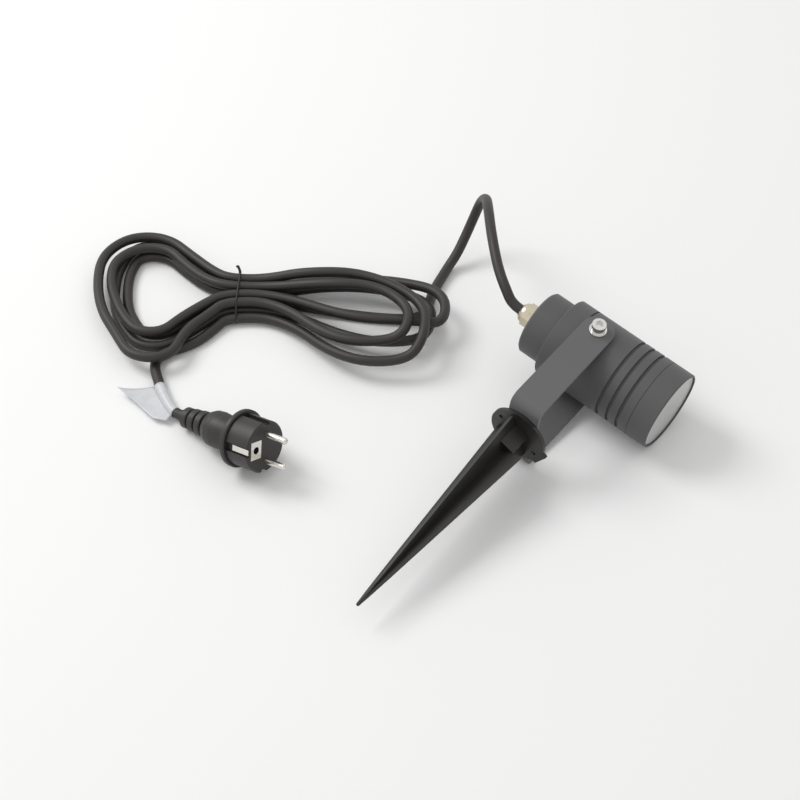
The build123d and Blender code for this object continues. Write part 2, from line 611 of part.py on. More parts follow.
loops.append(hank_node(*hank_out[:2], 0, hank_out[2]))
loops.append(hank_node(*hank_last[:2], 0, hank_last[2], tail_lift))


def biarc_joint(p0, t0, p1, t1):
    """Where the two arcs from p0 to p1 meet."""
    v = p1 - p0
    t = t0 + t1
    if abs(1 - t0.dot(t1)) < 1e-9:
        reach = v.dot(v) / (4 * v.dot(t1))
    else:
        reach = (-v.dot(t) + sqrt(v.dot(t) ** 2 + 2 * (1 - t0.dot(t1)) * v.dot(v))) / (2 * (1 - t0.dot(t1)))
    return (p0 + p1 + (t0 - t1) * reach) * 0.5


start, start_way = loops[0]
end, end_way = loops[-1]
hank_start = start - start_way * cable_d
hank_end = end + end_way * cable_d
hank_edges = [Line(hank_start, start)]
for (p0, t0), (p1, t1) in zip(loops, loops[1:]):
    joint = biarc_joint(p0, t0, p1, t1)
    first = TangentArc(p0, joint, tangent=t0)
    hank_edges += [first, TangentArc(joint, p1, tangent=first % 1)]
hank_edges.append(Line(end, hank_end))
hank_path = Wire(hank_edges)
cable_hank = sweep(Plane(origin=hank_start, z_dir=start_way) * Circle(cable_d / 2), path=hank_path)
# the turns' least gap to one another, measured on points along the tube
track = []
hank_len = 0
for edge in hank_edges:
    steps = ceil(edge.length / 2)
    track += [(hank_len + edge.length * k / steps, tuple(edge @ (k / steps))) for k in range(steps)]
    hank_len += edge.length
least = min(dist(p, q) for k, (a, p) in enumerate(track) for b, q in track[k + 1:] if b - a > 4 * cable_d)
print("least gap in the hank", round(least - cable_d, 2))

# ================================================================ lead, from the gland down to the hank
lead_run = [exit_at, exit_at + exit_way * lead_exit_len, *lead_points,
            hank_start - start_way * lead_entry_len, hank_start]
cable_lead, lead_path = tube_to(lead_run, fair_radii(lead_run), cable_d)

# ================================================================ plug
plug_way = Vector(0.0314, -0.9572, 0.24).normalized()
prong_way = Vector(-0.3909, -0.2766, -0.8779)
prong_way = (prong_way - plug_way * prong_way.dot(plug_way)).normalized()
r_ring = plug_ring_d / 2
y_ring = plug_front_len + plug_ring_t
face_h = y_ring * plug_way.Z + r_ring * sqrt(1 - plug_way.Z ** 2)
plug_at = Vector(*plug_place, face_h)
plug_seat = Plane(origin=plug_at, x_dir=prong_way, z_dir=plug_way).location


def plug_turned(profile):
    """Body of revolution about the plug's own axis, from (radius, distance behind the face)."""
    outline = Plane.XZ * make_face(Polyline(*[(r, -s) for r, s in profile], close=True))
    return revolve(outline, axis=Axis.Z, revolution_arc=360)


r_face = plug_face_d / 2
r_waist = plug_waist_d / 2
r_belly = plug_belly_d / 2
r_core = relief_core_d / 2
grip = [(0, 0), (r_face - 1.2, 0), (r_face, 1.2), (r_face, plug_front_len),
        (r_ring - 0.8, plug_front_len), (r_ring, plug_front_len + 0.8), (r_ring, y_ring - 0.8), (r_ring - 0.8, y_ring)]
for share, r in ((0.03, r_waist + 2.2), (0.19, r_waist + 0.2), (0.29, r_waist), (0.46, r_belly - 0.6),
                 (0.63, r_belly), (0.8, r_belly - 0.4), (0.95, r_belly - 2.4), (1.0, r_core)):
    grip.append((r, y_ring + share * (plug_grip_len - y_ring)))
y_rib = plug_grip_len
for rib_d in relief_rib_d:
    y_rib += relief_gap
    grip += [(r_core, y_rib), (rib_d / 2 - 0.6, y_rib), (rib_d / 2, y_rib + 0.6),
             (rib_d / 2, y_rib + relief_rib_t - 0.6), (rib_d / 2 - 0.6, y_rib + relief_rib_t),
             (r_core, y_rib + relief_rib_t)]
    y_rib += relief_rib_t
grip += [(plug_tail_d / 2, y_rib + relief_gap), (plug_tail_d / 2, plug_len), (0, plug_len)]
plug_body = plug_turned(grip)
for side in (-1, 1):
    guide = slab(r_face - guide_depth, r_face + 1, -guide_w / 2, guide_w / 2, -plug_front_len, 1)
    recess = slab(r_face - recess_depth, r_face + 1, -recess_w / 2, recess_w / 2, -plug_front_len, 1)
    plug_body -= Rot(0, 0, 90 - 90 * side) * guide
    plug_body -= Rot(0, 0, 90 * side) * recess
plate_y = (-earth_offset - plate_h / 2, -earth_offset + plate_h / 2)
plug_body -= slab(-plate_w / 2 - FIT, plate_w / 2 + FIT, plate_y[0] - FIT, plate_y[1] + FIT, -plate_t, 1)
earth_at = (0, -earth_offset)
plug_body -= rod("Z", earth_tube_d / 2 + FIT, -plate_t - earth_tube_len, 1, earth_at)
plug_pins = []
for side in (-1, 1):
    at = (side * prong_spacing / 2, 0)
    plug_body -= rod("Z", prong_root_d / 2 + FIT, -prong_root, 1, at)
    pin = rod("Z", prong_d / 2, 0, prong_len, at)
    pin = fillet(pin.edges().filter_by(GeomType.CIRCLE).sort_by(Axis.Z)[-1], prong_d * 0.4)
    plug_pins.append(pin + rod("Z", prong_root_d / 2, -prong_root, 1, at))
plug_clips = []
for side in (-1, 1):
    clip = slab(r_face - recess_depth, r_face - recess_depth + clip_t, -clip_w / 2, clip_w / 2, -clip_len, -0.5)
    plug_clips.append(Rot(0, 0, 90 * side) * clip)
earth_plate = slab(-plate_w / 2, plate_w / 2, *plate_y, -plate_t, 0)
earth_plate += rod("Z", earth_tube_d / 2, -plate_t - earth_tube_len + FREE, -plate_t / 2, earth_at)
earth_plate -= rod("Z", earth_tube_d / 2 - earth_tube_wall, -plate_t - earth_tube_len, 1, earth_at)

plug_moulding = plug_seat * plug_body
plug_end = plug_at - plug_way * plug_len
plug_pins = [plug_seat * p for p in plug_pins]
plug_clips = [plug_seat * p for p in plug_clips]
earth_plate = plug_seat * earth_plate

# ================================================================ tail, from the hank to the plug
tail_run = [hank_end, hank_end + end_way * tail_out_len, (*tail_corner, floor_z + tail_lift),
            plug_end - plug_way * tail_in_len, plug_end]
cable_tail, tail_path = tube_to(tail_run, fair_radii(tail_run), cable_d)
print("cable seen", round(lead_path.length + hank_len + tail_path.length, 1))

# ================================================================ wire tie round the waist
low_z = floor_z + tie_lift
high_z = low_z + layer
waist = Plane(origin=hank_at, x_dir=hank_y, z_dir=hank_x)
bundle = make_face(Polyline((min(waist_low), low_z), (max(waist_high), low_z), (max(waist_high), high_z),
                            (waist_low[1], high_z), close=True))
r_tie = cable_d / 2 + tie_slack
band = offset(bundle, amount=r_tie + tie_d) - offset(bundle, amount=r_tie)
cable_tie = extrude(waist * band, tie_d / 2, both=True)
r_twist = r_tie + tie_d / 2
twist_way = hank_y * 0.6 + Vector(0, 0, 0.8)
twist_at = waist.from_local_coords((max(waist_high) + 0.6 * r_twist, high_z + 0.8 * r_twist, 0))
twist_run = [twist_at, twist_at + twist_way * tie_end_len / 2,
             twist_at + twist_way * tie_end_len * 0.8 - hank_x * tie_end_len / 2]
cable_tie += tube_to(twist_run, fair_radii(twist_run), tie_d * 1.5)[0]

# ================================================================ label wrapped round the tail
tail_start = Plane(origin=tail_path @ 0, z_dir=tail_path % 0)
cable_label = sweep(tail_start * Circle(cable_d / 2 + label_wrap), path=tail_path)
label_ends = [Plane(origin=tail_path @ share, z_dir=tail_path % share) for share in (label_from, label_to)]
cable_label = split(cable_label, bisect_by=label_ends[0], keep=Keep.TOP)
cable_label = split(cable_label, bisect_by=label_ends[1], keep=Keep.BOTTOM)
flag_edge = []
for share in (label_from + 0.03, label_to - 0.03):
    way = tail_path % share
    outward = Vector(way.Y, -way.X, 0).normalized()
    flag_edge.append((tail_path @ share) + outward * (cable_d / 2 + FIT + flag_t / 2))
flag_along = (flag_edge[1] - flag_edge[0]).normalized()
flag_out = Vector(flag_along.Y, -flag_along.X, 0).normalized() * cos(radians(flag_fall))
flag_up = flag_along.cross(flag_out - Vector(0, 0, sin(radians(flag_fall)))).normalized()
flag_frame = Plane(origin=flag_edge[0], x_dir=flag_along, z_dir=flag_up)
flag = make_face(Polyline((0, 0), *flag_outline, ((flag_edge[1] - flag_edge[0]).length, 0), close=True))
cable_label += extrude(flag_frame * flag, flag_t / 2, both=True)
cable_label -= sweep(tail_start * Circle(cable_d / 2 + FIT), path=tail_path)

nodes["cable_lead"] = cable_lead.solids()
nodes["cable_hank"] = cable_hank.solids()
nodes["cable_tail"] = cable_tail.solids()
nodes["cable_tie"] = cable_tie.solids()
nodes["cable_label"] = cable_label.solids()
nodes["plug_moulding"] = plug_moulding.solids()
nodes["plug_pins"] = [s for p in plug_pins for s in p.solids()]
nodes["plug_clips"] = [s for p in plug_clips for s in p.solids()]
nodes["plug_earth"] = earth_plate.solids()

# ================================================================ origin under the middle of the lamp
lamp_box = Compound(children=[s for name in lamp for s in nodes[name]]).bounding_box()
centre = Vector((lamp_box.min.X + lamp_box.max.X) / 2, (lamp_box.min.Y + lamp_box.max.Y) / 2, 0)
for name, solids in nodes.items():
    shape = Compound(children=[Pos(-centre) * s for s in solids])
    shape.label = name
    export_step(shape, "parts/" + name + ".step")
    box = shape.bounding_box()
    print("%-18s %d  z %.2f..%.2f  volume %.1f" % (name, len(solids), box.min.Z, box.max.Z, shape.volume))
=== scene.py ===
"""Garden spike spotlight on a pale floor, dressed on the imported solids.

Metres, +Z up, in the part's own frame: +X from the spike's tip to the head, -Y out of the glass.
"""
import math

import bmesh
import bpy
from mathutils import Matrix, Vector


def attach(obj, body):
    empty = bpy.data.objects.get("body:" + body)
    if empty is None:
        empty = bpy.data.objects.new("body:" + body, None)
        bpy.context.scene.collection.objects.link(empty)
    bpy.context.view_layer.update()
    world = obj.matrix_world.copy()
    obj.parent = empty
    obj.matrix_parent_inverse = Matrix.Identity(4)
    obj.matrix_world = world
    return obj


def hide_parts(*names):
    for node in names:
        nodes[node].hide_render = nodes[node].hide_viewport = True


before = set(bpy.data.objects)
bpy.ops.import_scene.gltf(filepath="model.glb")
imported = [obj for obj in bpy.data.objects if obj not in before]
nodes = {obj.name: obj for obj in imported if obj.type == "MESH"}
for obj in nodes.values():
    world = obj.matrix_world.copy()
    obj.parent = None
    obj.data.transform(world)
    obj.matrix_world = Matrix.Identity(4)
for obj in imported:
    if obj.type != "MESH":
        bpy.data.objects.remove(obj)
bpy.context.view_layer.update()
scene = bpy.context.scene


# ---------------------------------------------------------------- camera and photographer's table
# A plain pale table top seen from well above, with a softbox over the far left corner, whose
# size gives the shadows a soft edge.
view = bpy.data.objects.new("view", bpy.data.cameras.new("view"))
scene.collection.objects.link(view)
look = Vector((0.52814, 0.42567, -0.73476)).normalized()
right = Vector((0.62753, -0.77859, 0.0)).normalized()
up = right.cross(look).normalized()
turn = Matrix((right, up, -look)).transposed().to_4x4()
view.matrix_world = Matrix.Translation((-0.69379, -0.47258, 1.00218)) @ turn
view.data.lens = 85.5
view.data.sensor_width = 36.0
view.data.clip_end = 50.0
scene.camera = view
scene.view_settings.view_transform = "Standard"


class Signal:
    """A socket in a material's tree. Arithmetic on it adds Math nodes; make() adds any other node."""

    def __init__(self, tree, socket=None):
        self.tree = tree
        self.socket = socket

    def make(self, kind, settings=None, sockets=None, out=0):
        node = self.tree.nodes.new(kind)
        for name, value in (settings or {}).items():
            if name == "stops":
                ramp = node.color_ramp.elements
                while len(ramp) < len(value):
                    ramp.new(0.5)
                for stop, (place, colour) in zip(ramp, value):
                    stop.position = place
                    stop.color = (*colour, 1.0)
            else:
                setattr(node, name, value)
        for name, value in (sockets or {}).items():
            if isinstance(value, Signal):
                self.tree.links.new(value.socket, node.inputs[name])
            else:
                node.inputs[name].default_value = value
        return Signal(self.tree, node.outputs[out])

    def sum_of(self, operation, first, second=0.0):
        return self.make("ShaderNodeMath", {"operation": operation}, {0: first, 1: second})

    def __add__(self, other):
        return self.sum_of("ADD", self, other)

    __radd__ = __add__

    def __sub__(self, other):
        return self.sum_of("SUBTRACT", self, other)

    def __rsub__(self, other):
        return self.sum_of("SUBTRACT", other, self)

    def __mul__(self, other):
        return self.sum_of("MULTIPLY", self, other)

    __rmul__ = __mul__

    def __truediv__(self, other):
        return self.sum_of("DIVIDE", self, other)

    def __gt__(self, other):
        return self.sum_of("GREATER_THAN", self, other)

    def blend(self, low, high):
        """This value, 0 to 1, between two colours."""
        return self.make("ShaderNodeMix", {"data_type": "RGBA"}, {0: self, 6: low, 7: high}, 2)

    def noise(self, scale, detail=2.0, rough=0.5, stretch=None):
        """Soft random grain fixed to the piece, in grains to the metre."""
        place = self.make("ShaderNodeTexCoord", out=3)
        if stretch:
            place = self.make("ShaderNodeMapping", None, {0: place, 3: stretch})
        return self.make("ShaderNodeTexNoise", None,
                         {"Vector": place, "Scale": scale, "Detail": detail, "Roughness": rough})


def finish(name, build, **plain):
    """A material whose surface is one Principled shader; build(s) returns what varies over it."""
    skin = bpy.data.materials.new(name)
    skin.use_nodes = True
    tree = skin.node_tree
    shader = tree.nodes["Principled BSDF"]
    for socket, value in plain.items():
        shader.inputs[socket.replace("_", " ")].default_value = value
    for socket, value in build(Signal(tree)).items():
        if isinstance(value, Signal):
            tree.links.new(value.socket, shader.inputs[socket])
        else:
            shader.inputs[socket].default_value = value
    return skin


def coat(skin, *names):
    """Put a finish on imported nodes."""
    for name in names:
        mesh = nodes[name].data
        mesh.materials.clear()
        mesh.materials.append(skin)


def bumps(s, height, strength, depth):
    return s.make("ShaderNodeBump", None, {"Strength": strength, "Distance": depth, "Height": height})


def background_ray(s):
    """1 for the rays that show the background: the camera's own, and those in metal and glass."""
    return (s.make("ShaderNodeLightPath", out="Is Camera Ray")
            + s.make("ShaderNodeLightPath", out="Is Glossy Ray")
            + s.make("ShaderNodeLightPath", out="Is Transmission Ray"))


def table_top(s):
    """White paper, a little paler to the camera than to the light it throws back on the lamp."""
    cloud = s.noise(1.6, 1.0)
    seen = background_ray(s)
    return {"Base Color": cloud.blend((0.90, 0.90, 0.895, 1), (0.92, 0.92, 0.915, 1)),
            "Emission Color": seen.blend((0.0, 0.0, 0.0, 1), (0.035, 0.035, 0.0345, 1))}


half = 6.0
top = bpy.data.meshes.new("table")
top.from_pydata([(-half, -half, 0), (half, -half, 0), (half, half, 0), (-half, half, 0)], [], [(0, 1, 2, 3)])
table = bpy.data.objects.new("table", top)
scene.collection.objects.link(table)
table.data.materials.append(finish("table_paper", table_top, Roughness=0.85, Emission_Strength=1.0))

# The room is bright overhead and dim towards the horizon, which gives the metals their contrast.
# The camera sees it as a plain white backdrop.
air = bpy.data.worlds.new("room")
scene.world = air
air.use_nodes = True
room = Signal(air.node_tree)
height = room.make("ShaderNodeSeparateXYZ", None, {0: room.make("ShaderNodeTexCoord")}, 2)
walls = height.blend((0.26, 0.26, 0.26, 1), (0.84, 0.84, 0.84, 1))
backdrop = background_ray(room).blend(walls, (0.93, 0.93, 0.925, 1))
air.node_tree.links.new(backdrop.socket, air.node_tree.nodes["Background"].inputs["Color"])


def softbox(name, place, aim, size, power):
    lamp = bpy.data.objects.new(name, bpy.data.lights.new(name, "AREA"))
    scene.collection.objects.link(lamp)
    lamp.location = place
    lamp.rotation_euler = (Vector(aim) - Vector(place)).to_track_quat("-Z", "Y").to_euler()
    lamp.data.size = size
    lamp.data.energy = power


softbox("window", (-0.35, 1.75, 1.9), (0.05, 0.1, 0.0), 1.2, 30.0)


# ---------------------------------------------------------------- mains lead
# Round three-core rubber lead, 7.6 mm, extruded, matt and slightly warm black. It leaves the
# gland, arches over, and is wound by hand into a hank that a wire tie pinches at its waist.
lead_d = 0.0076
lead_arch = [(0.112337, 0.065898, 0.050615), (0.112221, 0.074284, 0.052001), (0.115062, 0.081716, 0.0585),
             (0.122562, 0.093816, 0.0635), (0.132462, 0.105516, 0.0685), (0.146662, 0.120016, 0.0725),
             (0.165962, 0.136916, 0.0710), (0.183762, 0.151616, 0.0610), (0.190562, 0.161416, 0.0475),
             (0.185562, 0.163816, 0.0335), (0.176262, 0.163916, 0.0215), (0.163862, 0.162716, 0.0115),
             (0.152993, 0.163612, 0.0038)]
lead_tail = [(-0.084138, 0.230516, 0.00465), (-0.086836, 0.222031, 0.004741), (-0.086582, 0.214275, 0.006685)]

hank_x = Vector((0.5948, -0.8039, 0)).normalized()
hank_y = Vector((0, 0, 1)).cross(hank_x)
hank_at = Vector((0.028262, 0.264616, 0))
turn_step = lead_d + 0.0005
waist_lift = 0.0014
tail_lift = 0.00085
tail_corner = lead_d + 0.0095
waist_low = (-4.1, -12.3, -4.1, -12.3, -20.6)
waist_high = (4.1, 12.3, 4.1, 12.3)
waist_level = (0, 0, 1, 1, 0)
left_reach = (85.5, 95.0, 97.5, 107.5)
left_reach_at = (18.0, 16.0, 18.0, 22.0)
left_low = ((-60.0, -40.0), (-60.0, -52.0), (-62.0, -45.0), (-58.0, -72.0))
left_low_lift = (0.0, 0.0, 0.0, 0.0012)
left_flank = ((-76.0, -26.0, 118), (-84.5, -31.0, 118), (-84.5, -26.0, 118), (-92.0, -37.0, 121))
left_high = ((-71.0, 44.0), (-71.0, 56.0), (-70.0, 45.0), (-75.0, 57.0))
left_run_low = ((-30.0, -21.0, 224), (-25.0, -28.5, 226), (-32.0, -22.0, 224), (-25.0, -31.0, 228))
left_run_high = ((-34.0, 19.0, -42), (-27.5, 26.5, -42), (-34.0, 19.0, -42), (-27.5, 26.5, -42))
right_high = ((85.0, 8.2), (93.5, 16.7), (86.0, -5.0), (70.0, 7.0))
right_reach = ((145.0, -26.0), (155.1, -24.4), (128.5, -42.0), (141.0, -48.0))
right_low = ((122.0, -48.0), (117.8, -32.8), (106.0, -56.0), (117.0, -72.0))
right_level = ((1, 1, 1), (1, 2, 2), (3, 3, 2), (3, 3, 1.5))


def hank_node(x, y, level, heading, lift=0.0):
    """A place in the hank, in millimetres along and across it, and the way the lead runs there."""
    way = hank_x * math.cos(math.radians(heading)) + hank_y * math.sin(math.radians(heading))
    height = lead_d / 2 + level * turn_step + lift
    return hank_at + (hank_x * x + hank_y * y) / 1000 + Vector((0, 0, height)), way


wound = [hank_node(147.9, 21.0, 0, 248.7), hank_node(128.8, -15.9, 0, 180)]
for k in range(len(waist_high)):
    level = waist_level[k]
    wound.append(hank_node(0, waist_low[k], level, 180, waist_lift))
    wound.append(hank_node(*left_run_low[k][:2], level, left_run_low[k][2]))
    wound.append(hank_node(*left_low[k], level, 180, left_low_lift[k]))
    wound.append(hank_node(*left_flank[k][:2], level, left_flank[k][2]))
    wound.append(hank_node(-left_reach[k], left_reach_at[k], level, 90))
    wound.append(hank_node(*left_high[k], level, 0))
    wound.append(hank_node(*left_run_high[k][:2], level, left_run_high[k][2]))
    wound.append(hank_node(0, waist_high[k], level, 0, waist_lift))
    wound.append(hank_node(*right_high[k], right_level[k][0], 0))
    wound.append(hank_node(*right_reach[k], right_level[k][1], -90))
    wound.append(hank_node(*right_low[k], right_level[k][2], 180))
wound.append(hank_node(0, waist_low[-1], waist_level[-1], 180, waist_lift))
wound.append(hank_node(-19.0, -37.0, 0, 231))
wound.append(hank_node(-53.0, -78.0, 0, 288, tail_lift))

route = [Vector(p) for p in lead_arch]
for (p0, t0), (p1, t1) in zip(wound, wound[1:]):
    gap = p1 - p0
    both = t0 + t1
    spread = 2 * (1 - t0.dot(t1))
    if spread < 1e-6:
        reach = gap.dot(gap) / (4 * gap.dot(t1))
    else:
        reach = (math.sqrt(gap.dot(both) ** 2 + spread * gap.dot(gap)) - gap.dot(both)) / spread
    route += [p0 + t0 * reach, p1 - t1 * reach]
end, end_way = wound[-1]
route.append(end + end_way * tail_corner)
route += [Vector(p) for p in lead_tail]

lead_line = bpy.data.curves.new("mains_lead", "CURVE")
lead_line.dimensions = "3D"
line = lead_line.splines.new("NURBS")
line.points.add(len(route) - 1)
for knot, place in zip(line.points, route):
    knot.co = (*place, 1.0)
line.order_u = 3
line.use_endpoint_u = True
line.resolution_u = 8
lead_line.bevel_depth = lead_d / 2
lead_line.bevel_resolution = 7
lead_line.use_fill_caps = True
mains_lead = bpy.data.objects.new("mains_lead", lead_line)
scene.collection.objects.link(mains_lead)


def sheath(s):
    """Extruded rubber: fine dull grain with faint scuffs and a dusting of talc."""
    dust = s.noise(60.0, 3.0)
    grain = s.noise(1400.0, 2.0)
    return {"Base Color": dust.blend((0.020, 0.018, 0.017, 1), (0.034, 0.030, 0.028, 1)),
            "Roughness": 0.42 + dust * 0.16,
            "Normal": bumps(s, grain, 0.25, 0.0002)}


rubber_sheath = finish("rubber_sheath", sheath, Specular_IOR_Level=0.45)
lead_line.materials.append(rubber_sheath)
coat(rubber_sheath, "cable_sheath_end")
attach(mains_lead, "head")
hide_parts("cable_lead", "cable_hank", "cable_tail")


# ---------------------------------------------------------------- turned head
# Aluminium bar turned to a tube with three cooling grooves, a threaded front ring and a cap
# behind. All three are powder coated dark grey: a fine orange-peel grain with a soft sheen.
def powder(dark, light):
    def build(s):
        drift = s.noise(18.0, 2.0)
        peel = s.noise(900.0, 3.0, 0.6)
        fleck = s.noise(3200.0, 1.0)
        return {"Base Color": drift.blend(dark, light),
                "Roughness": 0.46 + fleck * 0.12,
                "Normal": bumps(s, peel, 0.22, 0.00025)}
    return build


head_coat = finish("head_coat", powder((0.088, 0.088, 0.091, 1), (0.101, 0.101, 0.104, 1)),
                   Specular_IOR_Level=0.42)
coat(head_coat, "housing", "front_ring", "rear_cap")


# ---------------------------------------------------------------- tilt bracket
# One strip of steel, bent twice with a wide inside radius and holed at three places, powder
# coated a touch lighter and smoother than the head.
bracket_coat = finish("bracket_coat", powder((0.120, 0.120, 0.124, 1), (0.136, 0.136, 0.140, 1)),
                      Specular_IOR_Level=0.42)
coat(bracket_coat, "yoke")


# ---------------------------------------------------------------- screws, washers and the bolt
# Stainless cap screws, spring and flat washers: turned or pressed, bright, with fine turning
# lines and a little darkening.
def bright_steel(s):
    haze = s.noise(220.0, 2.0)
    lines = s.noise(600.0, 2.0, 0.5, (1.0, 1.0, 9.0))
    return {"Base Color": haze.blend((0.64, 0.63, 0.60, 1), (0.80, 0.79, 0.76, 1)),
            "Roughness": 0.12 + lines * 0.14,
            "Normal": bumps(s, lines, 0.08, 0.0001)}


stainless = finish("stainless", bright_steel, Metallic=1.0)
coat(stainless, "pivot_screws", "spring_washers", "flat_washers", "spike_bolt", "spike_washer",
     "spike_nut", "holder_screws", "earth_screw", "earth_tag")


# ---------------------------------------------------------------- cable gland
# Hexagon brass gland, nickel plated and faintly yellow, with a black rubber insert squeezed
# round the lead.
def nickel(s):
    stain = s.noise(260.0, 3.0)
    return {"Base Color": stain.blend((0.50, 0.45, 0.33, 1), (0.66, 0.60, 0.46, 1)),
            "Roughness": 0.24 + stain * 0.14,
            "Normal": bumps(s, stain, 0.05, 0.0001)}


gland_plate = finish("gland_plate", nickel, Metallic=1.0)
coat(gland_plate, "gland_body", "gland_locknut", "gland_nut")


def soft_black(s):
    speck = s.noise(700.0, 2.0)
    return {"Base Color": speck.blend((0.016, 0.015, 0.015, 1), (0.028, 0.026, 0.025, 1)),
            "Roughness": 0.55 + speck * 0.1}


seal_rubber = finish("seal_rubber", soft_black)
coat(seal_rubber, "ring_seal", "glass_gasket", "rear_seal", "gland_washer", "cable_grommet")


# ---------------------------------------------------------------- front glass
# Pressed pane, etched to a pale frost so that the lamp behind it is hidden; it is paler in a
# thin band round its edge, where it rests on its gasket in the front ring.
glass_at = (0.114082, -0.060624, 0.029705)
frost_r = 0.0268


def etched(s):
    mottle = s.noise(420.0, 3.0)
    place = s.make("ShaderNodeTexCoord", out=3)
    radius = s.make("ShaderNodeVectorMath", {"operation": "DISTANCE"}, {0: place, 1: glass_at}, 1)
    rim = radius > frost_r
    frost = mottle.blend((0.58, 0.59, 0.57, 1), (0.78, 0.79, 0.77, 1))
    return {"Base Color": rim.blend(frost, (0.84, 0.84, 0.82, 1)),
            "Roughness": 0.30 + mottle * 0.10,
            "Normal": bumps(s, mottle, 0.14, 0.0002)}


pane = finish("etched_glass", etched, Transmission_Weight=0.25, IOR=1.5)
coat(pane, "front_glass")


# ---------------------------------------------------------------- spike
# Injection moulded black plastic: four thin ribs in a cross that run to a point, a round
# flange and a nut housing. Satin, with a fine spark-eroded grain and faint flow marks.
def moulded(s):
    flow = s.noise(30.0, 2.0, 0.5, (1.0, 4.0, 4.0))
    spark = s.noise(1800.0, 2.0)
    return {"Base Color": flow.blend((0.013, 0.012, 0.011, 1), (0.021, 0.019, 0.017, 1)),
            "Roughness": 0.34 + flow * 0.14,
            "Normal": bumps(s, spark, 0.18, 0.0002)}


spike_plastic = finish("spike_plastic", moulded, Specular_IOR_Level=0.5)
coat(spike_plastic, "spike")


# ---------------------------------------------------------------- plug
# Rubber moulded round the pins and the earth parts in one shot, with a ribbed neck that bends
# with the lead. The pins, side clips and plate are nickel plated.
def plug_skin(s):
    cloud = s.noise(45.0, 2.0)
    spark = s.noise(1500.0, 2.0)
    return {"Base Color": cloud.blend((0.018, 0.016, 0.015, 1), (0.030, 0.027, 0.025, 1)),
            "Roughness": 0.40 + cloud * 0.14,
            "Normal": bumps(s, spark, 0.2, 0.0002)}


plug_rubber = finish("plug_rubber", plug_skin)
coat(plug_rubber, "plug_moulding")


def plated(s):
    haze = s.noise(300.0, 2.0)
    return {"Base Color": haze.blend((0.62, 0.60, 0.56, 1), (0.78, 0.76, 0.71, 1)),
            "Roughness": 0.18 + haze * 0.12}


pin_plate = finish("pin_plate", plated, Metallic=1.0)
coat(pin_plate, "plug_pins", "plug_clips", "plug_earth", "lamp_pins")


# ---------------------------------------------------------------- inside the head
# Ceramic two-pin holder on a plated strip, a reflector lamp, and the terminal block with its
# cores. None of it shows while the ring is home.
def fired_clay(s):
    grain = s.noise(900.0, 2.0)
    return {"Base Color": grain.blend((0.62, 0.60, 0.55, 1), (0.72, 0.70, 0.65, 1)), "Roughness": 0.7}


def zinc(s):
    spangle = s.noise(180.0, 1.0)
    return {"Base Color": spangle.blend((0.42, 0.43, 0.44, 1), (0.56, 0.57, 0.58, 1)),
            "Roughness": 0.30 + spangle * 0.2}


def spun(s):
    lines = s.noise(500.0, 1.0)
    return {"Base Color": lines.blend((0.55, 0.55, 0.56, 1), (0.68, 0.68, 0.69, 1)),
            "Roughness": 0.28 + lines * 0.1}


def plain_plastic(dark, light, rough):
    def build(s):
        cloud = s.noise(400.0, 1.0)
        return {"Base Color": cloud.blend(dark, light), "Roughness": rough + cloud * 0.08}
    return build


coat(finish("fired_ceramic", fired_clay), "lamp_holder")
coat(finish("zinc_strip", zinc, Metallic=1.0), "holder_bracket")
coat(finish("spun_shell", spun, Metallic=1.0), "lamp_body")
coat(finish("lamp_window", plain_plastic((0.6, 0.6, 0.6, 1), (0.7, 0.7, 0.7, 1), 0.1)), "lamp_lens")
coat(finish("block_plastic", plain_plastic((0.62, 0.62, 0.58, 1), (0.7, 0.7, 0.66, 1), 0.4)),
     "terminal_block")
coat(finish("block_brass", plain_plastic((0.60, 0.42, 0.18, 1), (0.7, 0.5, 0.24, 1), 0.3), Metallic=1.0),
     "terminal_screws")
coat(finish("brown_core", plain_plastic((0.10, 0.04, 0.02, 1), (0.13, 0.05, 0.025, 1), 0.4)), "live_core")
coat(finish("blue_core", plain_plastic((0.02, 0.07, 0.35, 1), (0.025, 0.09, 0.40, 1), 0.4)), "neutral_core")
coat(finish("green_core", plain_plastic((0.10, 0.28, 0.03, 1), (0.13, 0.34, 0.04, 1), 0.4)), "earth_core")
coat(finish("white_leads", plain_plastic((0.66, 0.66, 0.64, 1), (0.74, 0.74, 0.72, 1), 0.4)), "holder_leads")


# ---------------------------------------------------------------- wire tie
# Thin steel wire in a black plastic coat, passed once round the waist of the hank, and its two
# ends twisted together by hand on the far side.
tie_r = 0.0006
tie_at = lead_d / 2 + 0.0001 + tie_r
low = lead_d / 2 + waist_lift
high = low + turn_step
near_side = waist_high[1] / 1000
far_side = waist_low[-1] / 1000
lean = 90 + math.degrees(math.atan2(turn_step, -near_side - far_side))
bundle = ((far_side, low, lean, 270), (near_side, low, 270, 360), (near_side, high, 0, 90),
          (-near_side, high, 90, lean))
bend_steps = 8
strands = [[]]
for across, height, first, last in bundle:
    for k in range(bend_steps + 1):
        bend = math.radians(first + (last - first) * k / bend_steps)
        strands[0].append(hank_at + hank_y * (across + tie_at * math.cos(bend))
                          + Vector((0, 0, height + tie_at * math.sin(bend))))
knot = hank_at + hank_y * (near_side + 0.6 * tie_at) + Vector((0, 0, high + 0.8 * tie_at))
twist_len = 0.0052
twist_droop = 0.0022
twist_r = 0.00055
twist_open = 0.0007
twist_steps = 28
loose_from = 22
rise = (hank_y * 0.6 + Vector((0, 0, 0.8))).normalized()
side = hank_x
other = rise.cross(side)
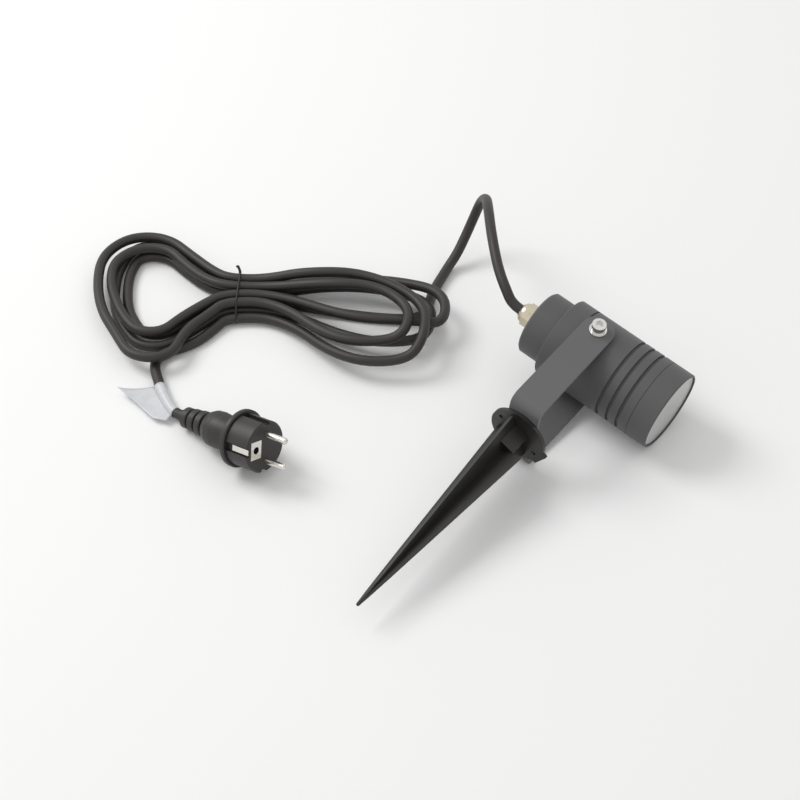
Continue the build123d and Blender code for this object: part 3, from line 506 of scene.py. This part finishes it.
for half_turn in (0, math.pi):
    strand = []
    for k in range(twist_steps + 1):
        turned = half_turn + k * math.pi / 5
        spread = twist_r + twist_open * max(0, k - loose_from) / (twist_steps - loose_from)
        share = k / twist_steps
        strand.append(knot + rise * (twist_len * share) - hank_x * (twist_droop * share ** 2)
                      + side * (spread * math.cos(turned)) + other * (spread * math.sin(turned)))
    strands.append(strand)
tie_line = bpy.data.curves.new("wire_tie", "CURVE")
tie_line.dimensions = "3D"
for strand in strands:
    wire = tie_line.splines.new("POLY")
    wire.points.add(len(strand) - 1)
    wire.use_cyclic_u = strand is strands[0]
    for point, place in zip(wire.points, strand):
        point.co = (*place, 1.0)
tie_line.bevel_depth = tie_r
tie_line.bevel_resolution = 4
tie_line.use_fill_caps = True
wire_tie = bpy.data.objects.new("wire_tie", tie_line)
scene.collection.objects.link(wire_tie)
tie_black = plain_plastic((0.012, 0.012, 0.012, 1), (0.02, 0.02, 0.02, 1), 0.35)
tie_line.materials.append(finish("tie_plastic", tie_black))
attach(wire_tie, "head")
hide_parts("cable_tie")


# ---------------------------------------------------------------- label
# Clear film with a white face, wrapped once round the lead's tail and stuck to itself as a
# flag that droops to the table and curls up at its far corner. It is left blank.
film = 0.0002
label_r = lead_d / 2 + 0.0001
place_steps = 8
tail_knots = [end, end + end_way * tail_corner, *[Vector(p) for p in lead_tail]]
tail_places = []
for a, b, c in zip(tail_knots, tail_knots[1:], tail_knots[2:]):
    for k in range(place_steps):
        t = k / place_steps
        tail_places.append((a + b) / 2 * (1 - t) ** 2 + b * 2 * t * (1 - t) + (b + c) / 2 * t ** 2)
wrapped = tail_places[3:-2]
sheet = bmesh.new()
around = 28
rings = []
for k, place in enumerate(wrapped):
    way = (wrapped[min(k + 1, len(wrapped) - 1)] - wrapped[max(k - 1, 0)]).normalized()
    out = Vector((way.y, -way.x, 0)).normalized()
    over = out.cross(way)
    for radius in (label_r, label_r + film):
        rings.append([sheet.verts.new(place + (out * math.cos(2 * math.pi * m / around)
                                               + over * math.sin(2 * math.pi * m / around)) * radius)
                      for m in range(around)])
for k in range(0, len(rings) - 2, 2):
    for m in range(around):
        n = (m + 1) % around
        sheet.faces.new((rings[k + 1][m], rings[k + 3][m], rings[k + 3][n], rings[k + 1][n]))
        sheet.faces.new((rings[k][m], rings[k][n], rings[k + 2][n], rings[k + 2][m]))
for inner, outer in ((rings[0], rings[1]), (rings[-1], rings[-2])):
    for m in range(around):
        n = (m + 1) % around
        sheet.faces.new((inner[m], outer[m], outer[n], inner[n]))
flag_root = (Vector((-0.0776, 0.2514, 0.00465)), Vector((-0.0906, 0.2222, 0.00500)))
flag_rim = [Vector(p) for p in ((-0.0958, 0.2700, 0.0011), (-0.0967, 0.2511, 0.0021),
                                (-0.0998, 0.2311, 0.0031), (-0.0959, 0.2213, 0.0044))]
flag_curl = 0.0055
flag_ripple = 0.0005
rows = 18
columns = 10
faces = []
for face in (-0.5, 0.5):
    grid = []
    for a in range(rows + 1):
        share = a / rows
        root = flag_root[0].lerp(flag_root[1], share)
        leg = min(int(share * 3), 2)
        rim_point = flag_rim[leg].lerp(flag_rim[leg + 1], share * 3 - leg)
        line_up = []
        for b in range(columns + 1):
            reach = b / columns
            curl = flag_curl * reach ** 3 * (1 - share) ** 2
            ripple = flag_ripple * math.sin(7.0 * share + 2.0 * reach) * reach
            place = root.lerp(rim_point, reach)
            line_up.append(sheet.verts.new(place + Vector((0, 0, curl + ripple + face * film))))
        grid.append(line_up)
    faces.append(grid)
bottom, upper = faces
for a in range(rows):
    for b in range(columns):
        sheet.faces.new((upper[a][b], upper[a][b + 1], upper[a + 1][b + 1], upper[a + 1][b]))
        sheet.faces.new((bottom[a][b], bottom[a + 1][b], bottom[a + 1][b + 1], bottom[a][b + 1]))
edge_line = ([(a, 0) for a in range(rows)] + [(rows, b) for b in range(columns)]
             + [(a, columns) for a in range(rows, 0, -1)] + [(0, b) for b in range(columns, 0, -1)])
for (a, b), (c, d) in zip(edge_line, edge_line[1:] + edge_line[:1]):
    sheet.faces.new((bottom[a][b], bottom[c][d], upper[c][d], upper[a][b]))
bmesh.ops.recalc_face_normals(sheet, faces=sheet.faces)
label_mesh = bpy.data.meshes.new("blank_label")
sheet.to_mesh(label_mesh)
for polygon in label_mesh.polygons:
    polygon.use_smooth = True
blank_label = bpy.data.objects.new("blank_label", label_mesh)
scene.collection.objects.link(blank_label)


def film_face(s):
    cloud = s.noise(160.0, 2.0)
    return {"Base Color": cloud.blend((0.66, 0.67, 0.69, 1), (0.78, 0.79, 0.81, 1)),
            "Roughness": 0.22 + cloud * 0.1}


label_mesh.materials.append(finish("label_film", film_face, Alpha=0.82))
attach(blank_label, "head")
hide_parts("cable_label")
